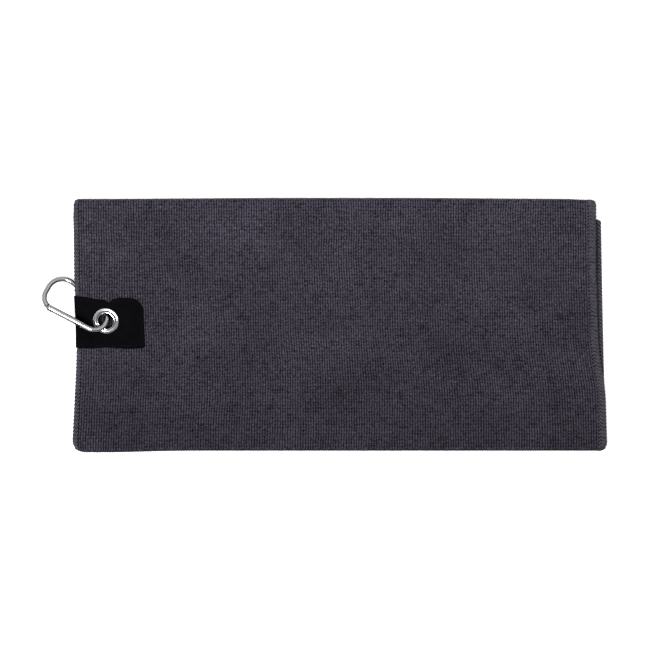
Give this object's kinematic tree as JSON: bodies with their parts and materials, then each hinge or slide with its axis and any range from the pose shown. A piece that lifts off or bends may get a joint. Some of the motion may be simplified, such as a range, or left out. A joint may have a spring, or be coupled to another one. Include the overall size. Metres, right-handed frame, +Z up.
{
  "type": "golf towel",
  "caption": "Microfibre golf towel folded in three lengthwise, with a tape tab, a metal eyelet and a small spring-gate clip through the eyelet.",
  "frame": {"origin": "under the middle of the whole object, on the surface that it lies on", "axes": "+X along the towel away from the clip, +Y across the towel towards the upper fold, +Z up"},
  "size_m": [0.4245, 0.1906, 0.0178],
  "materials": {
    "cloth": "ribbed looped microfibre, charcoal grey with a slight purple cast, matte",
    "edging_thread": "overlocked thread, matte",
    "tape": "woven black tape, matte",
    "tab_thread": "black sewing thread",
    "nickel": "nickel plated brass, polished",
    "polished_wire": "polished steel wire",
    "polished_gate": "polished steel tube with fine turning marks",
    "rivet_steel": "steel rivet with a flat set head",
    "spring_steel": "spring steel"
  },
  "bodies": {
    "towel": {"front_panel": "cloth", "inner_flap": "cloth", "upper_fold": "cloth", "lower_fold": "cloth", "front_left_edging": "edging_thread", "front_right_edging": "edging_thread", "inner_left_edging": "edging_thread", "inner_right_edging": "edging_thread", "inner_long_edging": "edging_thread", "hang_tab": "tape", "tab_stitching": "tab_thread", "grommet_eyelet": "nickel", "grommet_washer": "nickel"},
    "outer_layer": {"outer_flap": "cloth", "outer_left_edging": "edging_thread", "outer_right_edging": "edging_thread", "outer_long_edging": "edging_thread"},
    "clip": {"carabiner_frame": "polished_wire", "gate_pivot_pin": "rivet_steel"},
    "gate": {"carabiner_gate": "polished_gate", "gate_latch_pin": "rivet_steel", "gate_spring": "spring_steel"},
    "plunger": {"gate_plunger": "rivet_steel"}
  },
  "joints": [
    {"name": "outer_layer_unfold", "type": "hinge", "parent": "towel", "child": "outer_layer", "pos_m": [0.01, -0.0953, 0.002], "axis": [-1, 0, 0], "range_deg": [0, 180], "deforming": ["lower_fold"]},
    {"name": "clip_swing", "type": "hinge", "parent": "towel", "child": "clip", "pos_m": [-0.1641, 0.0033, 0.0107], "axis": [0, 0, 1], "range_deg": [-8, 12]},
    {"name": "gate_hinge", "type": "hinge", "parent": "clip", "child": "gate", "pos_m": [-0.20615, 0.01284, 0.01535], "axis": [0.1804, 0.3466, 0.9205], "range_deg": [0, 18], "stiffness_Nm_per_rad": 0.06, "springref_deg": -28.65},
    {"name": "plunger_slide", "type": "slide", "parent": "gate", "child": "plunger", "axis": [0.887, -0.4617, 0], "range_m": [0, 0.0004], "deforming": ["gate_spring"]}
  ],
  "couplings": [
    {"joint": "plunger_slide", "follows": "gate_hinge", "m_per_rad": 0.0012}
  ]
}
